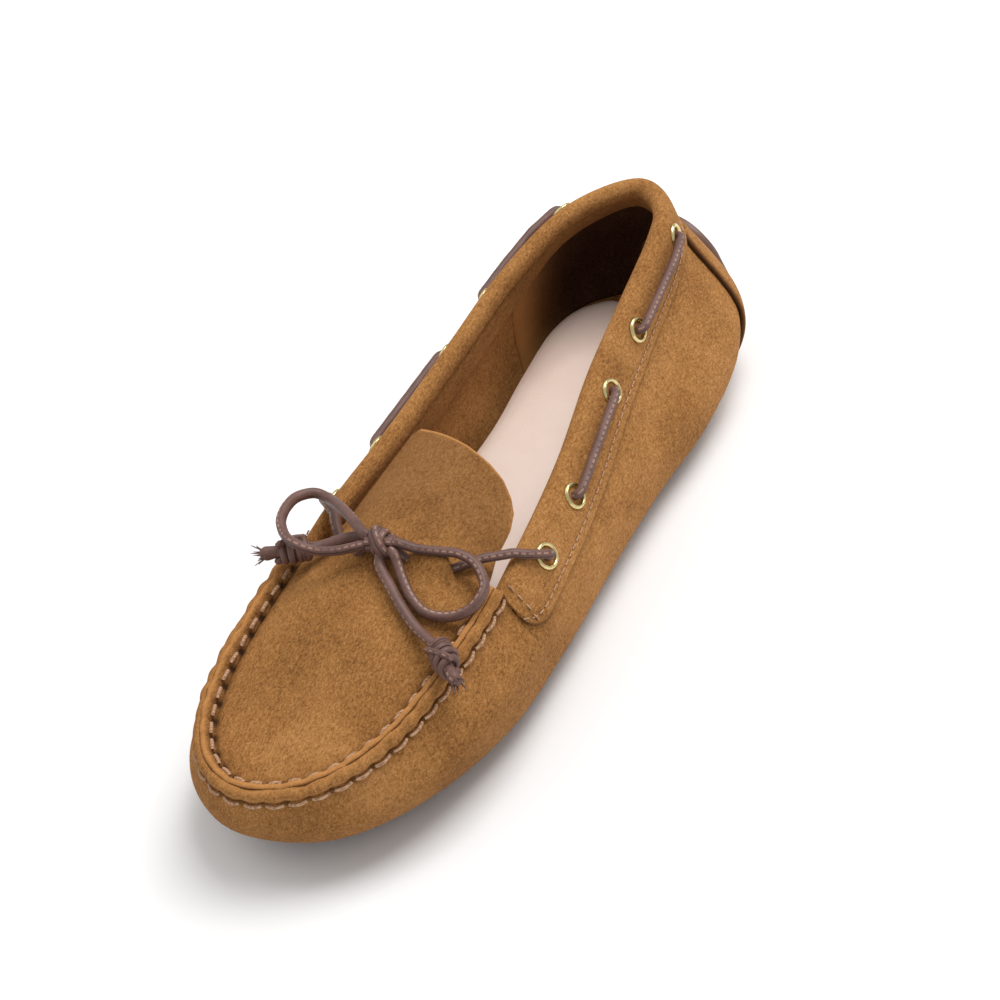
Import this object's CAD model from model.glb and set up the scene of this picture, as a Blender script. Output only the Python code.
"""Looks of a left suede driving moccasin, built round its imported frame.

Sizes in the classes are in millimetres. Meshes are made in metres, in the frame's own axes: +X to the
toe, +Y to the outer (little toe) side, +Z up.
"""
from __future__ import annotations

import logging
import math
from collections.abc import Callable, Iterable, Sequence
from dataclasses import dataclass, field
from enum import Enum

import bmesh
import bpy
import numpy as np
from mathutils import Matrix, Vector


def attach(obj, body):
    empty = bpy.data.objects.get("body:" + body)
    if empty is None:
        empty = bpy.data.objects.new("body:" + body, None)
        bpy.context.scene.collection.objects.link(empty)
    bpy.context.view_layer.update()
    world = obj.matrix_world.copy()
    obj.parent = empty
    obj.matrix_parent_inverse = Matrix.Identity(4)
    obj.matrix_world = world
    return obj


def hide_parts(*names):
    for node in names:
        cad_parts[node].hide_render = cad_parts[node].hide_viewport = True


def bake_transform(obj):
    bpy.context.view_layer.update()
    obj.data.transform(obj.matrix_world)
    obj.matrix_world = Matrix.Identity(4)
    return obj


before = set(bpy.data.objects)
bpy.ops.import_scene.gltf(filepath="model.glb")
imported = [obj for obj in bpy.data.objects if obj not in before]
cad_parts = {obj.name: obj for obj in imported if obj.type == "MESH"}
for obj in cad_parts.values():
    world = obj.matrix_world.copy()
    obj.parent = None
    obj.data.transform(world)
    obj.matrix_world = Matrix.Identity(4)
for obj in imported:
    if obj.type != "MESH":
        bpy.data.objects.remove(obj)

Array = np.ndarray
Piece = bpy.types.Object
Socket = bpy.types.NodeSocket
MM = 0.001
MERGE = 0.01  # points nearer than this, in millimetres, are joined
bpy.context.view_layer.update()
LOG = logging.getLogger("moccasin")


# ------------------------------------------------------------------ small tools


def unit(v: Array) -> Array:
    """Vectors scaled to length one along the last axis."""
    return v / np.maximum(np.linalg.norm(v, axis=-1, keepdims=True), 1e-9)


def smooth(t: Array | float) -> Array:
    """Soft step from 0 to 1."""
    c = np.clip(t, 0.0, 1.0)
    return c * c * (3 - 2 * c)


def hermite(p: Sequence[Array], w: Array) -> Array:
    """Point of a Catmull-Rom stretch.

    Args:
        p: The four neighbouring points, the stretch running from the second to the third.
        w: Share of the way along it, with a last axis of one.

    Returns:
        The points.
    """
    a, b, c, d = p
    return 0.5 * (2 * b + (c - a) * w + (2 * a - 5 * b + 4 * c - d) * w**2 + (3 * b - a - 3 * c + d) * w**3)


def closed_curve(points: Array, s: Array) -> Array:
    """Closed smooth curve through points, read at stations s, where station k is point k."""
    n = len(points)
    s = np.mod(np.asarray(s, float), n)
    i = np.floor(s).astype(int)
    return hermite([points[(i + k) % n] for k in (-1, 0, 1, 2)], (s - i)[..., None])


def open_curve(points: Array, steps: int) -> Array:
    """Open smooth curve through points, resampled to equal steps.

    Args:
        points: The points that it passes through.
        steps: How many equal steps it is cut into.

    Returns:
        Its steps + 1 points.
    """
    p = np.asarray(points, float)
    p = np.vstack([2 * p[0] - p[1], p, 2 * p[-1] - p[-2]])
    w = np.linspace(0, 1, 12, endpoint=False)[:, None]
    fine = [hermite(p[k : k + 4], w) for k in range(len(p) - 3)]
    return resample(np.vstack([*fine, p[-2][None]]), steps)


def resample(line: Array, steps: int) -> Array:
    """The same line with steps + 1 points at equal distances."""
    run = lengths(line)
    at = np.linspace(0, run[-1], steps + 1)
    return np.stack([np.interp(at, run, line[:, k]) for k in range(line.shape[1])], 1)


def lengths(line: Array) -> Array:
    """Distance from the start to each point of a line."""
    return np.concatenate([[0.0], np.cumsum(np.linalg.norm(np.diff(line, axis=0), axis=1))])


def refined(rows: Array, count: int) -> Array:
    """Rows of a surface with smooth extra rows between them.

    Args:
        rows: Points with the rows on the second axis.
        count: How many steps each gap is cut into.

    Returns:
        The finer rows, the first and last as they were.
    """
    p = np.concatenate([2 * rows[:, :1] - rows[:, 1:2], rows, 2 * rows[:, -1:] - rows[:, -2:-1]], 1)
    places = [(k, i / count) for k in range(rows.shape[1] - 1) for i in range(count)]
    out = [hermite([p[:, k + j] for j in range(4)], np.array([w])) for k, w in places]
    return np.stack([*out, rows[:, -1]], 1)


# ------------------------------------------------------------------ mesh making


def grid_faces(rows: int, columns: int, base: int = 0, closed: bool = False) -> list[tuple[int, ...]]:
    """Quads over a grid of points.

    Args:
        rows: Points along the first axis.
        columns: Points along the second axis.
        base: Number of the grid's first point.
        closed: Whether the last row joins the first.

    Returns:
        The quads.
    """
    faces = []
    for k in range(rows if closed else rows - 1):
        a, b = base + k * columns, base + ((k + 1) % rows) * columns
        faces += [(a + i, b + i, b + i + 1, a + i + 1) for i in range(columns - 1)]
    return faces


def linked(name: str, data: bpy.types.ID) -> Piece:
    """A new object for a mesh, a camera or a lamp, put in the scene."""
    item = bpy.data.objects.new(name, data)
    bpy.context.scene.collection.objects.link(item)
    return item


def poured(work: bmesh.types.BMesh, mesh: bpy.types.Mesh) -> None:
    """Writes worked geometry to its mesh, faces outwards, and frees it."""
    if work.calc_volume(signed=True) < 0:
        bmesh.ops.reverse_faces(work, faces=work.faces)
    work.to_mesh(mesh)
    work.free()


def make_object(name: str, points: Array, faces: Iterable[Sequence[int]]) -> Piece:
    """Closed smooth mesh object from points in millimetres, its faces turned outwards.

    Args:
        name: The piece's name.
        points: The points.
        faces: Faces with one winding all over.

    Returns:
        The object, at the origin.
    """
    mesh = bpy.data.meshes.new(name)
    mesh.from_pydata((points * MM).tolist(), [], [list(f) for f in faces])
    work = bmesh.new()
    work.from_mesh(mesh)
    bmesh.ops.remove_doubles(work, verts=work.verts, dist=MERGE * MM)
    bmesh.ops.dissolve_degenerate(work, edges=work.edges, dist=MERGE * MM * 0.5)
    for face in work.faces:
        face.smooth = True
    poured(work, mesh)
    return linked(name, mesh)


def shell(name: str, front: Array, back: Array, closed: bool = False, zipped: bool = False) -> Piece:
    """Closed skin between two grids of points.

    Args:
        name: The piece's name.
        front: Grid of the outer face.
        back: Grid of the inner face, of the same shape.
        closed: Whether the last row joins the first.
        zipped: Whether the first column is shared by mirrored rows, so that it needs no edge strip.

    Returns:
        The object.
    """
    n, m = front.shape[:2]
    points = np.vstack([front.reshape(-1, 3), back.reshape(-1, 3)])
    faces = grid_faces(n, m, 0, closed)
    faces += [f[::-1] for f in grid_faces(n, m, n * m, closed)]
    for k in range(n if closed else n - 1):
        a, b = k * m, ((k + 1) % n) * m
        if not zipped:
            faces.append((a, n * m + a, n * m + b, b))
        faces.append((b + m - 1, n * m + b + m - 1, n * m + a + m - 1, a + m - 1))
    if not closed:
        end = (n - 1) * m
        for i in range(m - 1):
            faces.append((i, i + 1, n * m + i + 1, n * m + i))
            faces.append((end + i + 1, end + i, n * m + end + i, n * m + end + i + 1))
    return make_object(name, points, faces)


def tube_frames(line: Array, up: Array, held: bool = False) -> tuple[Array, Array]:
    """Two directions across a line at each point, turning as little as they can, or held towards one way."""
    along = unit(np.gradient(line, axis=0))
    if held:
        side = unit(up - along * (along @ up)[:, None])
        return side, np.cross(along, side)
    side = np.empty_like(line)
    now = np.array(up, float)
    for k, t in enumerate(along):
        now = unit(now - t * (now @ t))
        side[k] = now
    return side, np.cross(along, side)


def tube(
    name: str, line: Array, radius: Array | float, sides: int = 16, up: Sequence[float] = (0, 0, 1),
    flat: float = 1.0, shape: Callable[[Array, Array], Array] | None = None, held: bool = False,
) -> Piece:
    """Round-ended tube along a line, with a UV map: millimetres along, and the share of the way round.

    Args:
        name: The piece's name.
        line: Its centreline.
        radius: Its radius, at every point or all over.
        sides: Faces round it.
        up: Direction that the first side faces.
        flat: Width across the other direction, as a share of the radius.
        shape: Factor on the radius from the angle and the length along.
        held: Whether the first side keeps facing that direction.

    Returns:
        The object.
    """
    n = len(line)
    radius = np.broadcast_to(np.asarray(radius, float), (n,))
    side, other = tube_frames(line, np.array(up, float), held)
    angle = np.linspace(0, 2 * math.pi, sides, endpoint=False)
    run = lengths(line)
    factor = np.ones((n, sides)) if shape is None else shape(angle[None, :], run[:, None])
    reach = radius[:, None, None] * factor[..., None]
    ring = line[:, None] + reach * (
        np.cos(angle)[None, :, None] * side[:, None] + flat * np.sin(angle)[None, :, None] * other[:, None]
    )
    tips = line[[0, -1]] + unit(line[[0, -1]] - line[[1, -2]]) * radius[[0, -1], None] * 0.35
    points = np.vstack([ring.reshape(-1, 3), tips])
    faces, uvs = [], []
    for k in range(n - 1):
        for i in range(sides):
            j = (i + 1) % sides
            faces.append((k * sides + i, k * sides + j, (k + 1) * sides + j, (k + 1) * sides + i))
            u, v = (run[k], run[k + 1]), (i / sides, (i + 1) / sides)
            uvs += [(u[0], v[0]), (u[0], v[1]), (u[1], v[1]), (u[1], v[0])]
    for end, tip in ((0, n * sides), ((n - 1) * sides, n * sides + 1)):
        for i in range(sides):
            j = (i + 1) % sides
            faces.append((end + i, tip, end + j) if end == 0 else (end + j, tip, end + i))
            uvs += [(run[0] if end == 0 else run[-1], i / sides)] * 3
    mesh = bpy.data.meshes.new(name)
    mesh.from_pydata((points * MM).tolist(), [], faces)
    layer = mesh.uv_layers.new(name="along")
    layer.data.foreach_set("uv", np.array(uvs, np.float32).ravel())
    mesh.polygons.foreach_set("use_smooth", [True] * len(faces))
    work = bmesh.new()
    work.from_mesh(mesh)
    poured(work, mesh)
    return linked(name, mesh)


def joined(name: str, parts: Sequence[Piece]) -> Piece:
    """One object holding the meshes of several, which are removed."""
    work = bmesh.new()
    for part in parts:
        work.from_mesh(part.data)
    mesh = bpy.data.meshes.new(name)
    poured(work, mesh)
    for part in parts:
        bpy.data.objects.remove(part)
    return linked(name, mesh)


def settle(piece: Piece) -> Piece:
    """Turns a piece's modifiers into plain mesh."""
    graph = bpy.context.evaluated_depsgraph_get()
    mesh = bpy.data.meshes.new_from_object(piece.evaluated_get(graph), depsgraph=graph)
    piece.modifiers.clear()
    piece.data = mesh
    return piece


def cut(piece: Piece, cutters: Sequence[Piece]) -> None:
    """Takes the cutters out of a piece and removes them."""
    for cutter in cutters:
        knife = piece.modifiers.new("cut", "BOOLEAN")
        knife.operation = "DIFFERENCE"
        knife.solver = "EXACT"
        knife.object = cutter
    settle(piece)
    for cutter in cutters:
        bpy.data.objects.remove(cutter)


def paint(piece: Piece, values: Array) -> None:
    """Stores one number for each point, which the suede reads as how freshly cut it is."""
    layer = piece.data.attributes.new("cut", "FLOAT", "POINT")
    layer.data.foreach_set("value", np.asarray(values, np.float32))


def near_line(points: Array, line: Array, width: float) -> Array:
    """1 for points on a line's points, falling to 0 a width away."""
    near = np.zeros(len(points))
    for begin in range(0, len(points), 4000):
        chunk = points[begin : begin + 4000]
        gap = np.sqrt(((chunk[:, None] - line[None]) ** 2).sum(2)).min(1)
        near[begin : begin + 4000] = smooth(1 - gap / width)
    return near


def points_of(piece: Piece) -> Array:
    """A piece's points in millimetres."""
    flat = np.zeros(len(piece.data.vertices) * 3, np.float32)
    piece.data.vertices.foreach_get("co", flat)
    return flat.reshape(-1, 3).astype(float) / MM


# ------------------------------------------------------------------ shader graphs


class Signal:
    """A number inside a shader. Arithmetic on it adds Math nodes."""

    def __init__(self, graph: Graph, socket: Socket) -> None:
        """Wraps a socket of a graph."""
        self.graph = graph
        self.socket = socket

    def _math(self, operation: str, *values: Signal | float) -> Signal:
        """A Math node on these values, in this order."""
        node = self.graph.add("ShaderNodeMath", {"operation": operation}, dict(enumerate(values)))
        return Signal(self.graph, node.outputs[0])

    def __add__(self, other: Signal | float) -> Signal:
        """Sum."""
        return self._math("ADD", self, other)

    def __sub__(self, other: Signal | float) -> Signal:
        """Difference."""
        return self._math("SUBTRACT", self, other)

    def __rsub__(self, other: float) -> Signal:
        """Difference from a number."""
        return self._math("SUBTRACT", other, self)

    def __mul__(self, other: Signal | float) -> Signal:
        """Product."""
        return self._math("MULTIPLY", self, other)

    def wrapped(self, size: float) -> Signal:
        """Remainder within a repeat of that size."""
        return self._math("FLOORED_MODULO", self, size)

    def below(self, limit: float) -> Signal:
        """One where it is less than the limit, else zero."""
        return self._math("LESS_THAN", self, limit)

    def near(self, value: float, width: float) -> Signal:
        """One at a value, falling to zero a width away."""
        gap = self - value
        share = 1.0 - self._math("ABSOLUTE", gap) * (1.0 / width)
        return self._math("MAXIMUM", share, 0.0)

    def ranged(self, low: float, high: float, start: float = 0.0, end: float = 1.0) -> Signal:
        """Its stretch from low to high, mapped to start and end and held there."""
        node = self.graph.add(
            "ShaderNodeMapRange", {"clamp": True},
            {"Value": self, "From Min": low, "From Max": high, "To Min": start, "To Max": end},
        )
        return Signal(self.graph, node.outputs[0])


class Graph:
    """A material and its nodes."""

    def __init__(self, name: str) -> None:
        """Starts an empty material with a Principled shader."""
        self.material = bpy.data.materials.new(name)
        self.material.use_nodes = True
        self.nodes = self.material.node_tree.nodes
        self.links = self.material.node_tree.links
        self.shader = self.nodes["Principled BSDF"]

    def add(self, kind: str, settings: dict[str, object], values: dict[str | int, object]) -> bpy.types.Node:
        """A node with its settings made first, and then the values or links of its sockets.

        Args:
            kind: The node's type.
            settings: Its properties; "stops" gives a colour ramp's places and colours.
            values: Socket names or numbers, with a value, a Signal or a socket for each.

        Returns:
            The node.
        """
        node = self.nodes.new(kind)
        for key, value in settings.items():
            if key == "stops":
                ramp = node.color_ramp
                while len(ramp.elements) < len(value):
                    ramp.elements.new(0.5)
                for element, (place, colour) in zip(ramp.elements, value):
                    element.position = place
                    element.color = (*colour, 1.0)
            else:
                setattr(node, key, value)
        for key, value in values.items():
            self.feed(node.inputs[key], value)
        return node

    def feed(self, target: Socket, value: object) -> None:
        """Sets or links one socket."""
        if isinstance(value, Signal):
            self.links.new(value.socket, target)
        elif isinstance(value, Socket):
            self.links.new(value, target)
        else:
            target.default_value = value

    def place(self) -> Socket:
        """The point in the object's own frame."""
        return self.add("ShaderNodeTexCoord", {}, {}).outputs["Object"]

    def stretched(self, scale: Sequence[float]) -> Socket:
        """The point with each axis scaled."""
        return self.add("ShaderNodeMapping", {}, {"Vector": self.place(), "Scale": tuple(scale)}).outputs[0]

    def noise(self, scale: float, detail: float = 4.0, rough: float = 0.6, at: Socket | None = None,
              warp: float = 0.0) -> Signal:
        """Soft noise, with scale in features a metre."""
        node = self.add(
            "ShaderNodeTexNoise", {"noise_dimensions": "3D"},
            {"Vector": at or self.place(), "Scale": scale, "Detail": detail, "Roughness": rough,
             "Distortion": warp},
        )
        return Signal(self, node.outputs["Fac"])

    def attribute(self, name: str) -> Signal:
        """A number stored on the piece's points."""
        node = self.add("ShaderNodeAttribute", {"attribute_type": "GEOMETRY", "attribute_name": name}, {})
        return Signal(self, node.outputs["Fac"])

    def blend(self, share: Signal, low: object, high: object) -> Socket:
        """Two colours mixed by a share."""
        node = self.add("ShaderNodeMix", {"data_type": "RGBA", "blend_type": "MIX"}, {})
        self.feed(node.inputs[0], share)
        for socket, value in ((node.inputs[6], low), (node.inputs[7], high)):
            self.feed(socket, value if isinstance(value, Socket) else (*value, 1.0))
        return node.outputs[2]

    def bump(self, height: Signal, strength: float, distance: float) -> Socket:
        """Small relief of that depth in millimetres."""
        values = {"Height": height, "Strength": strength, "Distance": distance * MM}
        return self.add("ShaderNodeBump", {}, values).outputs[0]

    def finish(self, **values: object) -> bpy.types.Material:
        """Sets the shader's sockets, named with _ for a space, and gives the material."""
        for key, value in values.items():
            self.feed(self.shader.inputs[key.replace("_", " ")], value)
        return self.material


Colour = tuple[float, float, float]


def rgb(red: int, green: int, blue: int) -> Colour:
    """Colour from display values, 0 to 255."""
    return tuple(((c / 255 + 0.055) / 1.055) ** 2.4 if c > 10 else c / 3294.6 for c in (red, green, blue))


@dataclass(frozen=True)
class Suede:
    """Napped suede with brushed clouds, a short grain and darker or paler cut edges."""

    name: str
    pale: Colour
    middle: Colour
    dark: Colour
    cut_pale: Colour
    cut_dark: Colour
    sheen: float = 0.25

    def material(self) -> bpy.types.Material:
        """Builds the finish."""
        g = Graph(self.name)
        clouds = g.noise(34, 3, 0.55, warp=0.6)
        mottle = g.noise(150, 5, 0.62, warp=0.9)
        nap = g.noise(1150, 4, 0.75, at=g.stretched((0.8, 1.25, 1.0)), warp=0.5)
        grain = g.noise(2300, 3, 0.6)
        tone = clouds * 0.28 + mottle * 0.14 + nap * 0.68 + grain * 0.32
        ramp = g.add(
            "ShaderNodeValToRGB", {"stops": [(0.30, self.dark), (0.50, self.middle), (0.70, self.pale)]},
            {"Fac": tone.ranged(0.33, 1.09, 0.0, 1.0)},
        ).outputs["Color"]
        edge = g.attribute("cut")
        speck = (nap * 0.6 + grain * 0.4).ranged(0.35, 0.65, 0.72, 1.15)
        fibre = g.blend(speck, tuple(c * 0.35 for c in self.cut_pale), self.cut_pale)
        coloured = g.blend(edge.ranged(0.0, 1.0), ramp, fibre)
        coloured = g.blend((edge * -1.0).ranged(0.0, 1.0), coloured, self.cut_dark)
        relief = nap * 0.7 + grain * 0.5 + mottle * 0.4
        return g.finish(
            Base_Color=coloured, Roughness=mottle.ranged(0.3, 0.7, 0.86, 0.98), Specular_IOR_Level=0.16,
            Sheen_Weight=self.sheen, Sheen_Roughness=0.45, Sheen_Tint=(*self.pale, 1.0),
            Normal=g.bump(relief, 0.55, 0.45),
        )


@dataclass(frozen=True)
class Rubber:
    """Moulded satin rubber with a faint bloom."""

    name: str
    colour: Colour
    bloom: Colour

    def material(self) -> bpy.types.Material:
        """Builds the finish."""
        g = Graph(self.name)
        haze = g.noise(60, 4, 0.6, warp=0.5)
        pores = g.noise(1500, 3, 0.6)
        colour = g.blend(haze.ranged(0.35, 0.72), self.colour, self.bloom)
        return g.finish(
            Base_Color=colour, Roughness=(haze * 0.25 + pores * 0.12 + 0.22), Specular_IOR_Level=0.45,
            Normal=g.bump(pores + haze * 0.6, 0.25, 0.12),
        )


@dataclass(frozen=True)
class LaceLeather:
    """Folded lace leather with a sewn seam along it, read from the lace's own UV map."""

    name: str
    colour: Colour
    worn: Colour
    thread: Colour
    seam_at: float = 0.12
    pitch: float = 2.1

    def material(self) -> bpy.types.Material:
        """Builds the finish."""
        g = Graph(self.name)
        uv = g.add("ShaderNodeUVMap", {"uv_map": "along"}, {}).outputs[0]
        split = g.add("ShaderNodeSeparateXYZ", {}, {"Vector": uv})
        along, round_it = Signal(g, split.outputs[0]), Signal(g, split.outputs[1])
        grain = g.noise(900, 5, 0.65, warp=0.8)
        haze = g.noise(120, 4, 0.6)
        seam = round_it.near(self.seam_at, 0.055)
        dash = (along.wrapped(self.pitch)).below(self.pitch * 0.62)
        stitch = seam.ranged(0.35, 0.6) * dash * haze.ranged(0.36, 0.52, 0.15, 0.9)
        crease = round_it.near(self.seam_at + 0.13, 0.035)
        colour = g.blend((haze * 0.6 + grain * 0.6).ranged(0.45, 0.85), self.colour, self.worn)
        colour = g.blend(crease * 0.75, colour, tuple(c * 0.25 for c in self.colour))
        colour = g.blend(stitch, colour, self.thread)
        height = grain * 0.45 + haze * 0.5 + stitch * 0.8 - crease * 1.2 - seam * 0.5
        return g.finish(
            Base_Color=colour, Roughness=grain.ranged(0.3, 0.7, 0.38, 0.62), Specular_IOR_Level=0.42,
            Normal=g.bump(height, 0.6, 0.3),
        )


@dataclass(frozen=True)
class Brass:
    """Pale polished brass, slightly clouded."""

    name: str
    colour: Colour

    def material(self) -> bpy.types.Material:
        """Builds the finish."""
        g = Graph(self.name)
        haze = g.noise(500, 4, 0.6)
        scratch = g.noise(1800, 3, 0.6, at=g.stretched((1, 1, 6)))
        dull = g.blend(haze.ranged(0.4, 0.8), self.colour, tuple(c * 0.72 for c in self.colour))
        return g.finish(
            Base_Color=dull, Metallic=1.0, Roughness=(haze * 0.16 + scratch * 0.1 + 0.12),
            Normal=g.bump(scratch, 0.12, 0.05),
        )


@dataclass(frozen=True)
class SmoothLeather:
    """Pale satin leather with fine pores."""

    name: str
    colour: Colour
    shade: Colour

    def material(self) -> bpy.types.Material:
        """Builds the finish."""
        g = Graph(self.name)
        haze = g.noise(28, 4, 0.55)
        cells = g.add("ShaderNodeTexVoronoi", {"feature": "F1"}, {"Vector": g.place(), "Scale": 1400.0})
        pores = Signal(g, cells.outputs["Distance"])
        colour = g.blend(haze.ranged(0.35, 0.75), self.colour, self.shade)
        return g.finish(
            Base_Color=colour, Roughness=(haze * 0.2 + 0.38), Specular_IOR_Level=0.4,
            Normal=g.bump(pores + haze * 0.3, 0.25, 0.12),
        )


@dataclass(frozen=True)
class Thread:
    """Waxed twisted thread."""

    name: str
    colour: Colour
    shade: Colour

    def material(self) -> bpy.types.Material:
        """Builds the finish."""
        g = Graph(self.name)
        twist = g.add(
            "ShaderNodeTexWave", {"wave_type": "BANDS", "bands_direction": "DIAGONAL"},
            {"Vector": g.place(), "Scale": 700.0, "Distortion": 1.5, "Detail": 1.0},
        )
        ply = Signal(g, twist.outputs["Fac"])
        fuzz = g.noise(2600, 3, 0.6)
        colour = g.blend((ply * 0.6 + fuzz * 0.5).ranged(0.2, 0.9), self.shade, self.colour)
        return g.finish(
            Base_Color=colour, Roughness=fuzz.ranged(0.3, 0.7, 0.5, 0.7), Specular_IOR_Level=0.35,
            Normal=g.bump(ply + fuzz * 0.4, 0.5, 0.15),
        )


@dataclass(frozen=True)
class Foam:
    """Fibre board faced with foam."""

    name: str
    colour: Colour

    def material(self) -> bpy.types.Material:
        """Builds the finish."""
        g = Graph(self.name)
        cells = g.noise(1500, 4, 0.7)
        colour = g.blend(cells.ranged(0.3, 0.7), self.colour, tuple(c * 0.6 for c in self.colour))
        return g.finish(Base_Color=colour, Roughness=0.95, Normal=g.bump(cells, 0.4, 0.3))


@dataclass(frozen=True)
class StudioFloor:
    """Matt pale paper."""

    name: str
    colour: Colour

    def material(self) -> bpy.types.Material:
        """Builds the finish."""
        g = Graph(self.name)
        return g.finish(Base_Color=(*self.colour, 1.0), Roughness=0.8, Specular_IOR_Level=0.1)


class Finish(Enum):
    """The finishes of this shoe, with the record's slot that each belongs to."""

    SUEDE = "suede"
    LINING = "lining"
    SOCK = "sock_leather"
    FOAM = "foam"
    RUBBER = "rubber"
    LACE = "lace_leather"
    BRASS = "brass"
    THREAD = "thread"
    FLOOR = "floor"


RECIPES = {
    Finish.SUEDE: Suede(
        "caramel_suede", pale=rgb(190, 138, 84), middle=rgb(158, 109, 59), dark=rgb(112, 72, 35),
        cut_pale=rgb(192, 134, 78), cut_dark=rgb(70, 43, 24),
    ),
    Finish.LINING: Suede(
        "dark_napped_lining", pale=rgb(96, 64, 42), middle=rgb(72, 45, 29), dark=rgb(48, 29, 19),
        cut_pale=rgb(172, 120, 66), cut_dark=rgb(48, 29, 19), sheen=0.15,
    ),
    Finish.SOCK: SmoothLeather("pale_sock_leather", rgb(244, 224, 211), rgb(232, 207, 192)),
    Finish.FOAM: Foam("insole_foam", rgb(205, 188, 160)),
    Finish.RUBBER: Rubber("brown_rubber", rgb(98, 72, 62), rgb(120, 92, 80)),
    Finish.LACE: LaceLeather("mauve_brown_lace", rgb(92, 64, 56), rgb(124, 90, 80), rgb(164, 130, 114)),
    Finish.BRASS: Brass("pale_brass", rgb(226, 210, 152)),
    Finish.THREAD: Thread("beige_thread", rgb(206, 166, 132), rgb(146, 106, 76)),
    Finish.FLOOR: StudioFloor("studio_paper", (0.93, 0.93, 0.93)),
}
_materials: dict[Finish, bpy.types.Material] = {}


def material_of(finish: Finish) -> bpy.types.Material:
    """The material of a finish, made once."""
    if finish not in _materials:
        _materials[finish] = RECIPES[finish].material()
    return _materials[finish]


def dress(piece: Piece, finish: Finish) -> None:
    """Gives a piece one finish and, for the object's own finishes, its slot in the record."""
    piece.data.materials.clear()
    piece.data.materials.append(material_of(finish))


def report(piece: Piece) -> Piece:
    """Logs a finished piece."""
    LOG.info("%s: %d points", piece.name, len(piece.data.vertices))
    return piece


def settled(piece: Piece, finish: Finish, node: str, body: str = "shoe") -> Piece:
    """Dresses a piece, hides the CAD node that it stands for, sets it on a body and logs it.

    Args:
        piece: The piece.
        finish: Its finish.
        node: The CAD node it stands for.
        body: The CAD body it rides on.

    Returns:
        The piece.
    """
    dress(piece, finish)
    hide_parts(node)
    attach(piece, body)
    return report(piece)


# ------------------------------------------------------------------ the shape of the upper


@dataclass(frozen=True)
class Rail:
    """A closed line round the upper: heel and toe points, and rows of length, outer y, z, inner y, z."""

    heel: tuple[float, float, float]
    toe: tuple[float, float, float]
    rows: tuple[tuple[float, float, float, float, float], ...]

    def points(self) -> Array:
        """Its points in order round the shoe."""
        outer = [(x, y, z) for x, y, z, _, _ in self.rows]
        inner = [(x, y, z) for x, _, _, y, z in self.rows][::-1]
        return np.array([self.heel, *outer, self.toe, *inner], float)


EDGE_RAIL = Rail((-119, -3, 0), (120, -6, 0), (
    (-109, 18, 0, -24, 0), (-94, 29, 0, -30, 0), (-70, 34, 0, -28, 0), (-42, 34, 0, -25, 0), (-10, 36, 0, -27, 0),
    (24, 39, 0, -34, 0), (58, 39, 0, -37, 0), (90, 30, 0, -33, 0), (112, 16, 0, -22, 0)))
BULGE_RAIL = Rail((-135, -4, 24), (123, -6, 19), (
    (-124, 22, 22, -28, 23), (-103, 35, 20, -36, 22), (-74, 38, 20, -34, 21), (-44, 38, 20, -31, 21),
    (-10, 40, 21, -34, 21), (24, 43, 20, -40, 20), (58, 45, 19, -43, 19), (91, 38, 18, -39, 18),
    (114, 21, 18, -27, 18)))
HAUNCH_RAIL = Rail((-130, -8, 48), (121, -6, 25), (
    (-120, 10, 46, -23, 45), (-101, 20, 42, -31, 42), (-72, 26, 38, -31, 38), (-43, 31, 35, -31, 35),
    (-10, 36, 33, -33, 33), (24, 41, 31, -37, 31), (60, 44, 28, -39, 28), (91, 36, 25, -36, 26),
    (111, 20, 24, -27, 25)))
TOP_RAIL = Rail((-120, -1, 63), (118, -5, 28), (
    (-112, 10, 63, -12, 63), (-97, 15, 62, -20, 62), (-70, 19, 59, -25, 59), (-42, 22, 54, -26, 55),
    (-10, 28, 48, -28, 49), (24, 33, 45, -29, 45), (60, 34, 39, -30, 40), (90, 28, 32, -29, 34),
    (110, 15, 29, -21, 30)))
CROWN = ((-12, 3.5), (24, 9.5), (40, 10), (70, 8), (95, 4), (115, 1.5))
STATIONS = 20
TOE = 10.0
VAMP_ENDS = (-12, 112)


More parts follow.
